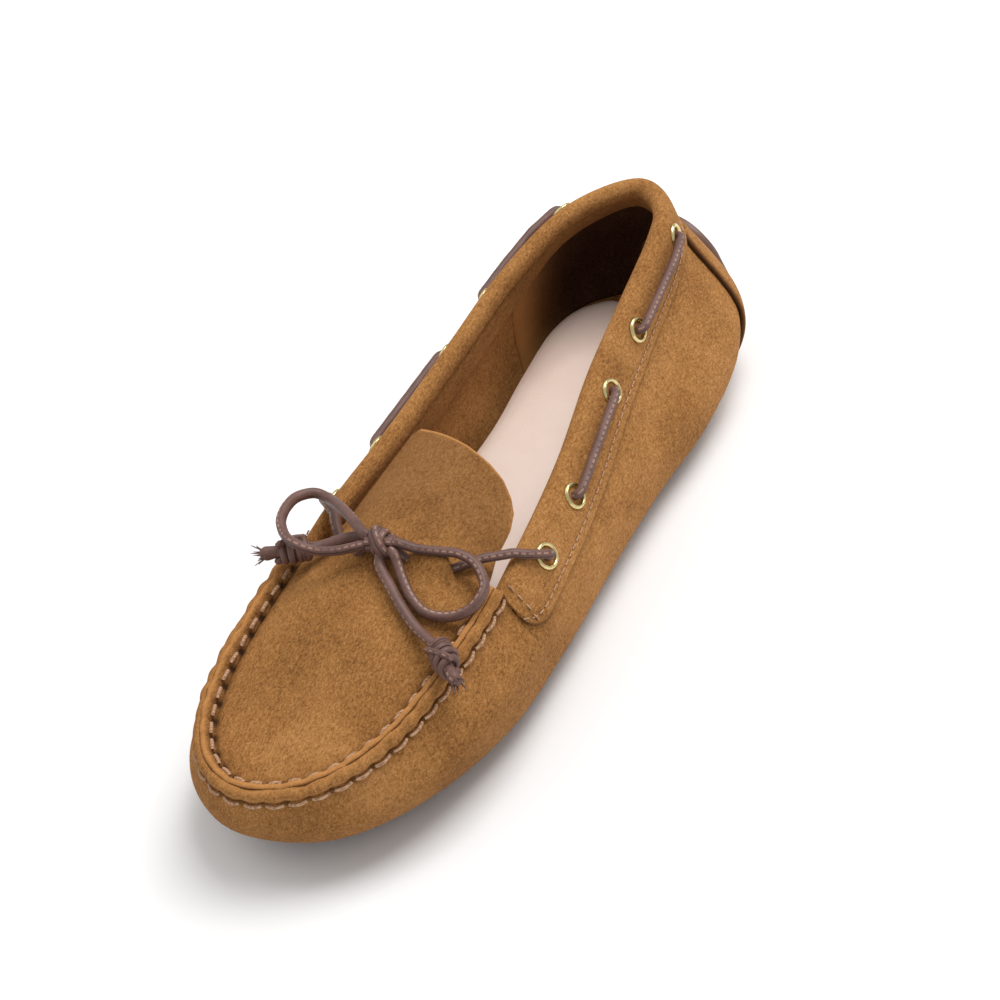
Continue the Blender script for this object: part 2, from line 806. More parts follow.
@dataclass
class Last:
    """The form that the suede is drawn over. Station 0 is the heel, 10 the toe, 1 to 9 the outer side."""

    sole_base: float = 5.2
    spring: float = 7.5
    seam_start_x: float = 41.0
    seam_lean: float = 0.45
    rails: list[Array] = field(default_factory=list)

    def __post_init__(self) -> None:
        """Lays out the rails and the table of the top rail's lengths."""
        self.rails = [r.points() for r in (EDGE_RAIL, BULGE_RAIL, HAUNCH_RAIL, TOP_RAIL)]
        self.steps = np.linspace(0, TOE, 801)
        self.tops = {side: self.rail(3, self.steps * side) for side in (1, -1)}

    def rail(self, number: int, s: Array | float) -> Array:
        """Points of a rail at stations s."""
        return closed_curve(self.rails[number], np.asarray(s, float))

    def station(self, x: Array | float, side: int) -> Array:
        """Signed station of one side at a length of the top rail."""
        return np.interp(x, self.tops[side][:, 0], self.steps) * side

    def top(self, x: Array | float, side: int) -> Array:
        """Point of the top rail of one side at a length."""
        table = self.tops[side]
        return np.stack([np.interp(x, table[:, 0], table[:, k]) for k in range(3)], -1)

    def toe_spring(self, x: Array) -> Array:
        """How far the sole turns up at the toe."""
        return np.where(x > 60, self.spring * ((x - 60) / 62) ** 2, 0)

    def sole(self, x: Array, y: Array) -> Array:
        """Height of the underside of the leather."""
        heel = np.where(x < -70, self.spring * ((x + 70) / 50) ** 2, 0)
        return self.sole_base + self.toe_spring(x) + heel + 1.2 * (y / 40) ** 2

    def wall(self, s: Array | float, v: Array | float) -> Array:
        """Outer face of the upper, v running from the sole edge 0 to the top 1."""
        s, v = np.broadcast_arrays(np.asarray(s, float), np.asarray(v, float))
        edge, bulge, haunch, top = (self.rail(k, s) for k in range(4))
        edge[..., 2] = self.sole(edge[..., 0], edge[..., 1])
        below = edge * (0.9, 0.3, 1.0) - (0, 0, 1.5)
        rows = np.stack([below, edge, bulge, haunch, top, top + (top - haunch) * 0.9])
        f = np.clip(v, 0, 1) * 3
        i = np.minimum(f.astype(int), 2)
        pick = [np.take_along_axis(rows, (i + k)[None, ..., None], 0)[0] for k in range(4)]
        return hermite(pick, (f - i)[..., None])

    def normal(self, s: Array | float, v: Array | float) -> Array:
        """Outward direction of the wall."""
        s, v = np.broadcast_arrays(np.asarray(s, float), np.asarray(v, float))
        along = self.wall(s + 0.05, v) - self.wall(s - 0.05, v)
        up = self.wall(s, np.minimum(1, v + 0.03)) - self.wall(s, np.maximum(0, v - 0.03))
        return unit(np.cross(up, along))

    def offset(self, s: Array | float, v: Array | float, out: Array | float) -> Array:
        """Wall moved outwards by a distance."""
        return self.wall(s, v) + self.normal(s, v) * np.asarray(out, float)[..., None]

    def at_depth(self, s: Array, depths: Array) -> Array:
        """How far down the wall v lies these distances below the rim, for each station and depth."""
        s = np.atleast_1d(np.asarray(s, float))
        depths = np.broadcast_to(np.asarray(depths, float), (len(s), np.shape(depths)[-1]))
        v = np.linspace(1, 0, 121)
        run = np.zeros((len(s), len(v)))
        points = self.wall(s[:, None], v[None])
        run[:, 1:] = np.cumsum(np.linalg.norm(np.diff(points, axis=1), axis=2), 1)
        return np.stack([np.interp(d, r, v) for d, r in zip(depths, run)])

    def collar(self, s: Array, out: Array, depth: Array) -> Array:
        """Grid of points beside the wall at depths below the rim."""
        v = np.maximum(self.at_depth(s, depth), 0.02)
        s = np.atleast_1d(np.asarray(s, float))
        return self.offset(s[:, None], v, np.broadcast_to(out, v.shape))

    def seam_frame(self, s: Array) -> tuple[Array, Array, Array]:
        """Points of the raised seam, and its directions up the flange and away from the apron."""
        s = np.asarray(s, float)
        along = unit(self.rail(3, s + 0.05) - self.rail(3, s - 0.05))
        up = self.normal(s, np.full_like(s, 0.97)) * self.seam_lean + (0, 0, 1)
        up = unit(up - along * np.sum(along * up, -1, keepdims=True))
        return self.rail(3, s), up, np.cross(up, along)

    def crown(self, x: Array) -> Array:
        """How far the vamp stands above its edges."""
        return np.interp(x, *zip(*CROWN))

    def vamp(self, x: Array | float, y: Array | float) -> Array:
        """Height of the vamp's top face."""
        at = np.clip(x, *VAMP_ENDS)
        p, q = self.top(at, 1), self.top(at, -1)
        half = (p[..., 1] - q[..., 1]) / 2 - 2
        w = np.clip((y - (p[..., 1] + q[..., 1]) / 2) / half, -1, 1)
        return (p[..., 2] + q[..., 2]) / 2 + self.crown(np.asarray(x, float)) * (1 - w * w)

    def over_vamp(self, points: Sequence[Sequence[float]]) -> Array:
        """Points given as length, width and height over the vamp."""
        p = np.array(points, float)
        p[:, 2] += self.vamp(p[:, 0], p[:, 1])
        return p


LAST = Last()


# ------------------------------------------------------------------ stitches


@dataclass
class StitchRow:
    """Stitches laid along a line on a surface, made by a node tree."""

    name: str
    pitch: float
    length: float
    thick: float
    rise: float = 0.25
    wobble: float = 0.05
    seed: int = 3

    TREE = "stitches_along_a_line"

    def tree(self) -> bpy.types.NodeTree:
        """The node tree, made once and shared by every row."""
        found = bpy.data.node_groups.get(self.TREE)
        if found:
            return found
        tree = bpy.data.node_groups.new(self.TREE, "GeometryNodeTree")
        kinds = {
            "Geometry": "Geometry", "Pitch": "Float", "Length": "Float", "Thickness": "Float", "Rise": "Float",
            "Wobble": "Float", "Even": "Bool", "Seed": "Int", "Material": "Material",
        }
        for label, kind in kinds.items():
            tree.interface.new_socket(label, in_out="INPUT", socket_type=f"NodeSocket{kind}")
        tree.interface.new_socket("Geometry", in_out="OUTPUT", socket_type="NodeSocketGeometry")

        def add(kind: str, feeds: dict[str | int, object], **settings: object) -> Socket:
            """First output of a node with its settings, and the values or links of its sockets."""
            node = tree.nodes.new(kind)
            for key, value in settings.items():
                setattr(node, key, value)
            for key, value in feeds.items():
                if isinstance(value, Socket):
                    tree.links.new(value, node.inputs[key])
                else:
                    node.inputs[key].default_value = value
            return node.outputs[0]

        def scaled(socket: Socket, factor: float) -> Socket:
            """A socket times a number."""
            return add("ShaderNodeMath", {0: socket, 1: factor}, operation="MULTIPLY")

        def vector(axis: str, socket: Socket) -> Socket:
            """A vector along one axis."""
            return add("ShaderNodeCombineXYZ", {axis: socket})

        given = tree.nodes.new("NodeGroupInput").outputs
        line = add("GeometryNodeMeshToCurve", {0: given["Geometry"]})
        even = add("GeometryNodeResampleCurve", {"Curve": line, "Length": given["Pitch"]}, mode="LENGTH")
        spots = add("GeometryNodeSwitch", {0: given["Even"], 1: line, 2: even}, input_type="GEOMETRY")
        arc = add("GeometryNodeCurveQuadraticBezier", {
            "Resolution": 6, "Start": vector("X", scaled(given["Length"], -0.5)),
            "Middle": vector("Z", scaled(given["Rise"], 2.0)), "End": vector("X", scaled(given["Length"], 0.5)),
        })
        half = scaled(given["Thickness"], 0.5)
        ring = add("GeometryNodeCurvePrimitiveCircle", {"Resolution": 7, "Radius": half})
        body = add("GeometryNodeCurveToMesh", {"Fill Caps": True, "Curve": arc, "Profile Curve": ring})
        facing = add("GeometryNodeInputNamedAttribute", {"Name": "facing"}, data_type="FLOAT_VECTOR")
        raised = add("FunctionNodeAlignRotationToVector", {"Vector": facing}, axis="Z")
        tangent = add("GeometryNodeInputTangent", {})
        turned = add(
            "FunctionNodeAlignRotationToVector", {"Rotation": raised, "Vector": tangent}, axis="X", pivot_axis="Z")
        shake = tree.nodes.new("FunctionNodeRandomValue")
        shake.data_type = "FLOAT"
        tree.links.new(scaled(given["Wobble"], -1.0), shake.inputs[2])
        tree.links.new(given["Wobble"], shake.inputs[3])
        tree.links.new(given["Seed"], shake.inputs["Seed"])
        twist = add(
            "FunctionNodeRotateRotation", {0: turned, 1: vector("Z", shake.outputs[1])}, rotation_space="LOCAL")
        laid = add("GeometryNodeInstanceOnPoints", {"Points": spots, "Instance": body, "Rotation": twist})
        soft = add("GeometryNodeSetShadeSmooth", {0: add("GeometryNodeRealizeInstances", {0: laid})})
        dressed = add("GeometryNodeSetMaterial", {"Geometry": soft, "Material": given["Material"]})
        tree.links.new(dressed, tree.nodes.new("NodeGroupOutput").inputs[0])
        return tree

    def build(self, lines: Sequence[tuple[Array, Array]], even: bool = True) -> Piece:
        """Stitches along lines.

        Args:
            lines: Pairs of a line's points and the directions that its stitches face.
            even: Whether they keep the pitch along the line, or one stands on each of its points.

        Returns:
            The stitches as one plain mesh.
        """
        points = np.vstack([line for line, _ in lines])
        facing = np.vstack([way for _, way in lines])
        edges, base = [], 0
        for line, _ in lines:
            edges += [(base + k, base + k + 1) for k in range(len(line) - 1)]
            base += len(line)
        mesh = bpy.data.meshes.new(self.name)
        mesh.from_pydata((points * MM).tolist(), edges, [])
        layer = mesh.attributes.new("facing", "FLOAT_VECTOR", "POINT")
        layer.data.foreach_set("vector", unit(facing).astype(np.float32).ravel())
        piece = linked(self.name, mesh)
        tree = self.tree()
        row = piece.modifiers.new("stitches", "NODES")
        row.node_group = tree
        values = {
            "Pitch": self.pitch * MM, "Length": self.length * MM, "Thickness": self.thick * MM,
            "Rise": self.rise * MM, "Wobble": self.wobble, "Seed": self.seed, "Even": even,
            "Material": material_of(Finish.THREAD),
        }
        for item in tree.interface.items_tree:
            if item.in_out == "INPUT" and item.name in values:
                row[item.identifier] = values[item.name]
        settle(piece)
        piece.data.materials.clear()
        piece.data.materials.append(material_of(Finish.THREAD))
        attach(piece, "shoe")
        return report(piece)


# ------------------------------------------------------------------ studio


@dataclass
class Studio:
    """Camera, floor and soft lights."""

    eye: tuple[float, float, float] = (384.6, 337.1, 468.4)
    target: tuple[float, float, float] = (28.4, 34.0, 66.8)
    roll: float = -0.26
    lens: float = 81.9
    floor_size: float = 9.0
    sky: float = 0.56

    def camera(self) -> None:
        """Makes the camera and makes it the scene's."""
        eye, target = np.array(self.eye), np.array(self.target)
        ahead = unit(target - eye)
        right = unit(np.cross(ahead, (0, 0, 1)))
        up = np.cross(right, ahead)
        c, s = math.cos(self.roll), math.sin(self.roll)
        across, above = c * right + s * up, -s * right + c * up
        turn = Matrix([[across[k], above[k], -ahead[k], eye[k] * MM] for k in range(3)] + [[0, 0, 0, 1]])
        data = bpy.data.cameras.new("camera")
        data.lens, data.sensor_width = self.lens, 36.0
        data.clip_start, data.clip_end = 0.01, 50.0
        camera = linked("camera", data)
        camera.matrix_world = turn
        bpy.context.scene.camera = camera

    def light(self, name: str, place: Sequence[float], size: float, power: float) -> None:
        """Makes a square soft light that faces the shoe."""
        data = bpy.data.lights.new(name, "AREA")
        data.size, data.energy = size, power
        lamp = linked(name, data)
        lamp.location = place
        lamp.rotation_mode = "QUATERNION"
        lamp.rotation_quaternion = (Vector((0.0, 0.0, 0.03)) - Vector(place)).to_track_quat("-Z", "Y")

    def build(self) -> None:
        """Makes the whole studio."""
        self.camera()
        world = bpy.data.worlds.new("studio")
        world.use_nodes = True
        world.node_tree.nodes["Background"].inputs["Color"].default_value = (1, 1, 1, 1)
        world.node_tree.nodes["Background"].inputs["Strength"].default_value = self.sky
        bpy.context.scene.world = world
        bpy.context.scene.view_settings.view_transform = "Standard"
        self.light("key", (-0.7, 0.3, 1.5), 1.0, 22.0)
        self.light("fill", (0.2, -1.2, 1.3), 1.4, 4.0)
        half = self.floor_size / 2
        corners = [(-half, -half, 0), (half, -half, 0), (half, half, 0), (-half, half, 0)]
        mesh = bpy.data.meshes.new("studio_floor")
        mesh.from_pydata(corners, [], [(0, 1, 2, 3)])
        floor = linked("studio_floor", mesh)
        floor.data.materials.append(material_of(Finish.FLOOR))


# ------------------------------------------------------------------ laces


def rounded(corners: Array, radius: float, steps: int = 6) -> Array:
    """Line through corner points with every corner rounded.

    Args:
        corners: The points.
        radius: Radius at the corners, less where they are near each other.
        steps: Points along each corner's bend.

    Returns:
        The line.
    """
    line = [corners[0]]
    for before, here, after in zip(corners, corners[1:], corners[2:]):
        back, on = before - here, after - here
        cosine = float(unit(back) @ unit(on))
        half = math.acos(max(-1.0, min(1.0, cosine))) / 2
        reach = min(radius / math.tan(half), 0.48 * np.linalg.norm(back), 0.48 * np.linalg.norm(on))
        a, b = here + unit(back) * reach, here + unit(on) * reach
        for t in np.linspace(0, 1, steps + 1):
            line.append(a * (1 - t) ** 2 + 2 * here * t * (1 - t) + b * t * t)
    line.append(corners[-1])
    return np.array(line)


@dataclass
class Lacing:
    """The collar lace, and the bow with its tails and barrel knots."""

    radius: float = 1.5
    eyelet_x: tuple[float, ...] = (-103, -64, -40, -2, 21)
    depth: float = 7.6
    outside: float = 4.8
    inside: float = -0.8
    front_outer: tuple = (
        (34.2, 27.6, 1.9), (38.4, 24.2, 0.9), (41.2, 21.6, 0.1), (42.4, 18, -3.4), (43.4, 13.4, -4.6),
        (44.1, 10.4, -1.2), (44.6, 7.6, 1.9), (45.0, 4.6, 4.4))
    front_inner: tuple = (
        (31.6, -25.2, 1.9), (34.6, -22.8, 1.4), (37.6, -20, -1.2), (40.4, -16.4, -4.6), (43.6, -10.2, -4.6),
        (45.6, -7.0, -1.2), (46.0, -4.2, 1.9), (45.6, -1.2, 4.4))
    knot: tuple = (45.2, 2.6, 5.0)
    loop_outer: tuple = (
        (44.2, 8.0, 5.6), (42.8, 12.5, 4.0), (40.8, 18.2, 4.2), (39.3, 23.9, 5.8), (39.7, 29.3, 6.9),
        (43.6, 33.8, 6.8), (47.9, 34.6, 6.2), (52.1, 32.6, 5.2), (55.5, 27.9, 2.9), (57.2, 22.3, 2.2),
        (55.4, 17.3, 2.2), (51.8, 12.8, 2.3), (49.0, 9.9, 3.2), (47.2, 8.0, 4.6))
    loop_inner: tuple = (
        (45.0, -3.2, 6.9), (41.6, -8.4, 6.8), (37.0, -16, 7.0), (31.4, -25.6, 7.6), (31.6, -31, 9.6),
        (37.6, -33.4, 12.4), (46, -31.4, 14.6), (51.4, -26.6, 14.8), (54.4, -20.6, 13), (53.6, -14.4, 8.8),
        (51.2, -9.4, 6.2), (48.8, -5.2, 5.2), (47.8, -3.6, 5.0))
    tail_outer: tuple = (
        (50.4, 4.6, 2.6), (54.0, 9.4, 2.1), (58.4, 15.4, 2.1), (61.6, 20.8, 2.4), (63.6, 25.2, 3.8),
        (65.2, 28.8, 6.0))
    tail_inner: tuple = (
        (42.2, -3.6, 2.2), (42.6, -8.4, 2.1), (43.8, -13.6, 2.2), (46.4, -17.6, 3.2), (48.6, -20.2, 5.0))
    barrel_outer: tuple = (68.6, 35.0, 7.4)
    barrel_inner: tuple = (51.6, -25.0, 8.0)
    turns: float = 4.4
    half_knot: float = 4.6
    hairs: int = 16

    def on_band(self, s: float, out: float) -> Array:
        """Point of the lace beside the collar band."""
        return LAST.collar([s], [out], [self.depth])[0, 0]

    def front(self, side: int) -> list[Array]:
        """Corners of the lace from over the rim to beside the knot."""
        over = LAST.top(27.0, side)
        inside = self.front_outer if side > 0 else self.front_inner
        return [
            over + (-1.0, side * 4.2, 0.6), over + (1.6, side * 0.6, 2.3), *LAST.over_vamp(inside),
        ]

    def one_side(self, side: int) -> list[Array]:
        """Corners of the lace through the five eyelets of one side, from the front to the heel."""
        s = [float(LAST.station(x, side)) for x in self.eyelet_x]
        out, within = self.outside - (0.4 if side < 0 else 0.0), self.inside

        def part(k: int, share: float) -> float:
            """Station part of the way from eyelet k to the next one behind it."""
            return s[k] + (s[k - 1] - s[k]) * share

        stops = [
            (s[4], out + 0.9), (s[4], within), (part(4, 1 / 3), within), (part(4, 2 / 3), within),
            (s[3], within), (s[3], out), (s[2], out), (s[2], within), (part(2, 0.5), within), (s[1], within),
            (s[1], out), (part(1, 1 / 3), out), (part(1, 2 / 3), out), (s[0], out), (s[0], within),
        ]
        return [self.on_band(station, distance) for station, distance in stops]

    def collar_lace(self) -> None:
        """The lace held by the shoe, from one slit round the collar to the other."""
        start, end = (float(LAST.station(self.eyelet_x[0], side)) for side in (1, -1))
        heel = [self.on_band(start + (end - start) * i / 12, self.inside) for i in range(1, 12)]
        corners = [
            *self.front(1)[::-1], *self.one_side(1), *heel, *self.one_side(-1)[::-1], *self.front(-1),
        ]
        line = resample(rounded(np.array(corners), 2.1), 620)
        piece = tube("collar_lace_leather", line, self.radius, 14, (0.1, 0, 1), shape=self.section, held=True)
        settled(piece, Finish.LACE, "collar_lace")

    @staticmethod
    def section(angle: Array, along: Array) -> Array:
        """Factor on the lace's radius: a flattened side that carries the seam, and slight waves."""
        ridge = 0.07 * np.cos(2 * (angle - 0.8))
        return 1.0 + ridge + 0.02 * np.sin(along * 0.9) * np.cos(angle * 3)

    def free_lace(self, points: Array, body: str, node: str) -> None:
        """A loop or tail of the bow, declared as a free cord.

        Args:
            points: Points that it passes through.
            body: The CAD body it rides on.
            node: The CAD node it stands for, which names the piece.
        """
        line = open_curve(points, 120)
        piece = tube(f"{node}_leather", line, self.radius, 14, shape=self.section)
        settled(piece, Finish.LACE, node, body)

    def wound(self, centre: Array, along: Array, body: str, node: str) -> Piece:
        """A barrel knot: turns of lace wound over the tail, and a frayed end.

        Args:
            centre: Middle of the knot.
            along: Direction from the shoe to the frayed end, of length one.
            body: The CAD body it rides on.
            node: The CAD node it stands for, which names the piece.

        Returns:
            The piece.
        """
        side = unit(np.cross(along, (0, 0, 1)))
        other = np.cross(along, side)
        t = np.linspace(0, 1, 150)
        turn = t * self.turns * 2 * math.pi
        swell = 2.2 + 0.55 * np.sin(t * math.pi) + 0.18 * np.sin(turn * 0.5)
        coil = centre + np.outer(self.half_knot * (2 * t - 1), along) + swell[:, None] * (
            np.cos(turn)[:, None] * side + np.sin(turn)[:, None] * other)
        coil += np.outer(0.5 * np.sin(turn + 0.8), along)
        parts = [tube("coil", coil, 1.32, 10, up=along, flat=0.8)]
        core = centre + np.outer(np.linspace(-self.half_knot, 9.6, 24), along)
        core += side * (0.5 * np.sin(np.linspace(0, 3, 24)))[:, None]
        thick = np.interp(np.linspace(0, 1, 24), [0, 0.55, 0.7, 0.9, 1], [1.9, 2.2, 1.9, 2.3, 1.5])
        parts.append(tube("core", core, thick, 12, flat=0.85))
        bend = np.linspace(0.4, 1.9, 40)[:, None]
        strap = centre + np.outer(np.linspace(-3.4, 4.0, 40), along) + 3.35 * (
            np.cos(bend) * side - np.sin(bend) * other)
        parts.append(tube("strap", strap, 1.25, 10, flat=0.75))
        dice = np.random.default_rng(11)
        for _ in range(self.hairs):
            angle, lean = dice.uniform(0, 2 * math.pi), dice.uniform(0.1, 0.7)
            reach = dice.uniform(1.8, 3.6)
            out = math.cos(angle) * side + math.sin(angle) * other
            u = np.linspace(0, 1, 8)[:, None]
            hair = centre + along * 8.6 + out * 1.3 + u * reach * unit(along + lean * out) + u * u * out * lean
            parts.append(tube("fray", hair, np.linspace(0.3, 0.1, 8), 5))
        return settled(joined(f"{node}_wound", parts), Finish.LACE, node, body)

    def bow_knot(self) -> Piece:
        """The knot: the bundle of strands, and the lace wound across it."""
        centre = LAST.over_vamp([self.knot])[0]
        axis = unit(np.array([-0.25, 1.0, 0.0]))
        up = np.array([0.0, 0.0, 1.0])
        side = np.cross(axis, up)
        parts = []
        for lift, shift in ((1.0, 0.9), (-0.9, 1.1), (0.2, -1.3)):
            t = np.linspace(-1, 1, 30)
            line = centre + np.outer(t * 3.9, axis) + (lift * (1 - 0.2 * t * t))[:, None] * up
            line += np.outer(shift * (1 - 0.3 * t), side)
            parts.append(tube("strand", line, 1.55, 12))
        for start, lean, reach in ((-2.7, 1.9, 3.45), (-2.2, -0.6, 3.1)):
            a = np.linspace(start, start + 2 * math.pi * 1.02, 90)
            wrap = centre + reach * (np.cos(a)[:, None] * up + np.sin(a)[:, None] * side * 0.95)
            wrap += np.outer(lean * np.sin(a - 0.8), axis)
            parts.append(tube("wrap", wrap, 1.75, 14, up=axis, flat=0.62))
        return settled(joined("bow_knot_wrap", parts), Finish.LACE, "bow_knot")

    def build(self) -> None:
        """Makes every lace piece, the free ones first."""
        barrels = {}
        for side, spot, way in (
            ("outer", self.barrel_outer, (0.6, 0.8, -0.12)), ("inner", self.barrel_inner, (0.5, -0.86, 0.02)),
        ):
            centre, along = LAST.over_vamp([spot])[0], unit(np.array(way))
            barrels[side] = (self.wound(centre, along, f"{side}_tail", f"barrel_knot_{side}"), centre, along)
        heart = LAST.over_vamp([self.knot])[0]
        for side, route in (("outer", self.tail_outer), ("inner", self.tail_inner)):
            piece, centre, along = barrels[side]
            path = LAST.over_vamp(route)
            first = path[0] + (heart - path[0]) * 0.55
            line = np.vstack([first, path, centre - along * 3.5, centre + along * 2.5])
            self.free_lace(line, f"{side}_tail", f"lace_tail_{side}")
        for side, route in (("outer", self.loop_outer), ("inner", self.loop_inner)):
            path = LAST.over_vamp(route)
            first, last = (path[k] + (heart - path[k]) * 0.35 for k in (0, -1))
            self.free_lace(np.vstack([first, path, last]), f"{side}_loop", f"bow_loop_{side}")
        self.bow_knot()
        self.collar_lace()


# ------------------------------------------------------------------ sole pods


@dataclass
class Pod:
    """A rubber pod: its node, back and front ends, and how far it stands in from the sole edge."""

    node: str
    back: float
    front: float
    inset: float
    corner: float = 5.0
    drop: float = 5.2
    raised: float = 0.0
    round_edge: float = 1.6
    stem: float = 2.4

    def outline(self, grow: float) -> Array:
        """Its outline in plan, made larger by an amount."""
        gap, r = self.inset - grow, self.corner
        a, b = self.back - grow, self.front + grow

        def side(x: float, sign: int) -> Array:
            """Point of the side at a length."""
            return inset_edge(edge_station(x, sign), gap)

        def bend(end: float, sign: int, towards: int) -> list[Array]:
            """Rounded corner from the side to the end."""
            p = side(end - towards * r, sign)
            c = np.array([end, side(end, sign)[1]])
            d = np.array([end, c[1] - sign * r])
            return [p * (1 - t) ** 2 + 2 * c * t * (1 - t) + d * t * t for t in np.linspace(0.02, 0.98, 9)]

        def line(start: float, stop: float, sign: int) -> list[Array]:
            """Points along a side."""
            return [side(x, sign) for x in np.linspace(start, stop, 14)]

        def turn(middle: float, reach: float) -> list[Array]:
            """Points round the toe or the heel."""
            return [inset_edge(middle - u * reach, gap) for u in np.linspace(1, -1, 40)]

        if self.node == "toe_pod":
            reach = TOE - edge_station(a + r, 1)
            rows = [*bend(a, -1, -1), *bend(a, 1, -1)[::-1], *turn(TOE, reach)]
        elif self.node == "heel_rear_pod":
            reach = edge_station(b - r, 1)
            rows = [*bend(b, 1, 1), *bend(b, -1, 1)[::-1], *turn(0.0, reach)]
        else:
            rows = [
                *line(a + r, b - r, 1), *bend(b, 1, 1), *bend(b, -1, 1)[::-1],
                *line(b - r, a + r, -1), *bend(a, -1, -1), *bend(a, 1, -1)[::-1],
            ]
        return np.array(rows)

    def tread(self, x: Array) -> Array:
        """Height of its tread."""
        return np.maximum(0, LAST.sole(x, np.zeros_like(x)) - self.drop) + self.raised

    def window(self) -> Piece:
        """Solid that cuts its window in the wrap."""
        plan = self.outline(0.25)
        rings = [np.column_stack([plan, np.full(len(plan), z)]) for z in (-6.0, 9.0 + 12.0 * (self.front > 80))]
        return lofted("window", rings)

    def build(self) -> Piece:
        """Makes the pod with soft edges and a slightly dished tread."""
        plan = self.outline(0.0)
        middle = plan.mean(0)
        inward = unit(middle - plan)
        rings = []
        for share in (0.15, 0.4, 0.65, 0.85):
            p = middle + (plan + inward * self.round_edge - middle) * share
            rings.append(np.column_stack([p, self.tread(p[:, 0]) + 0.25 * (1 - share)]))
        for angle in np.linspace(0, math.pi / 2, 7):
            p = plan + inward * self.round_edge * (1 - math.sin(angle))
            z = self.tread(p[:, 0]) + self.round_edge * (1 - math.cos(angle))
            rings.append(np.column_stack([p, z]))
        top = LAST.sole(plan[:, 0], plan[:, 1])
        for lift in (-0.6, 0.5, self.stem):
            rings.append(np.column_stack([plan - inward * 0.1, top + lift]))
        p = middle + (plan - middle) * 0.5
        rings.append(np.column_stack([p, LAST.sole(p[:, 0], p[:, 1]) + self.stem]))
        piece = lofted(f"{self.node}_rubber", rings)
        return settled(piece, Finish.RUBBER, self.node)


def inset_edge(s: float, inset: float) -> Array:
    """Point of the sole edge moved inwards, in plan."""
    p = LAST.rail(0, s)
    along = LAST.rail(0, s + 0.05) - LAST.rail(0, s - 0.05)
    along = along[:2] / np.hypot(*along[:2])
    return np.array([p[0] + along[1] * inset, p[1] - along[0] * inset])


def edge_station(x: float, side: int) -> float:
    """Signed station of the sole edge at a length."""
    steps = np.linspace(0.02, 9.98, 500)
    return float(np.interp(x, LAST.rail(0, steps * side)[:, 0], steps)) * side


def lofted(name: str, rings: Sequence[Array]) -> Piece:
    """Closed body through rings of equal length, with a fan at each end."""
    n = len(rings[0])
    points = np.vstack([*rings, rings[0].mean(0), rings[-1].mean(0)])
    faces: list[tuple[int, ...]] = []
    for k in range(len(rings) - 1):
        a = k * n
        faces += [(a + i, a + (i + 1) % n, a + n + (i + 1) % n, a + n + i) for i in range(n)]
    last, low, high = (len(rings) - 1) * n, len(rings) * n, len(rings) * n + 1
    faces += [((i + 1) % n, i, low) for i in range(n)]
    faces += [(last + i, last + (i + 1) % n, high) for i in range(n)]
    return make_object(name, points, faces)


@dataclass
class Sole:
    """The six pods of the sole and the stitching between and round them."""

    pods: tuple[Pod, ...] = (
        Pod("toe_pod", 89, 113, 4.5), Pod("ball_front_pod", 44, 84, 3.5), Pod("ball_rear_pod", -5, 38, 3.5),
        Pod("waist_pod", -33, -11, 5.0, raised=1.2), Pod("heel_front_pod", -71, -39, 4.0),
        Pod("heel_rear_pod", -113, -77, 5.5),
    )
    edge_pitch: float = 3.6

    def build(self) -> None:
        """Makes the pods and the sole's threads."""
        for pod in self.pods:
            pod.build()
        s = np.linspace(1.15, 18.85, 500)
        v = np.full_like(s, 0.004)
        lines = [(LAST.offset(s, v, 0.1), LAST.normal(s, v))]
        ends = sorted((pod.back, pod.front) for pod in self.pods)
        for (_, front), (back, _) in zip(ends, ends[1:]):
            x = (front + back) / 2
            y = np.linspace(inset_edge(edge_station(x, -1), 3)[1], inset_edge(edge_station(x, 1), 3)[1], 60)
            across = np.column_stack([np.full_like(y, x), y, LAST.sole(np.full_like(y, x), y) - 0.1])
            lines.append((across, np.tile((0.0, 0.0, -1.0), (len(y), 1))))
        StitchRow("sole_thread", self.edge_pitch, 2.6, 0.55, rise=0.1).build(lines)


# ------------------------------------------------------------------ wrap, apron and seam


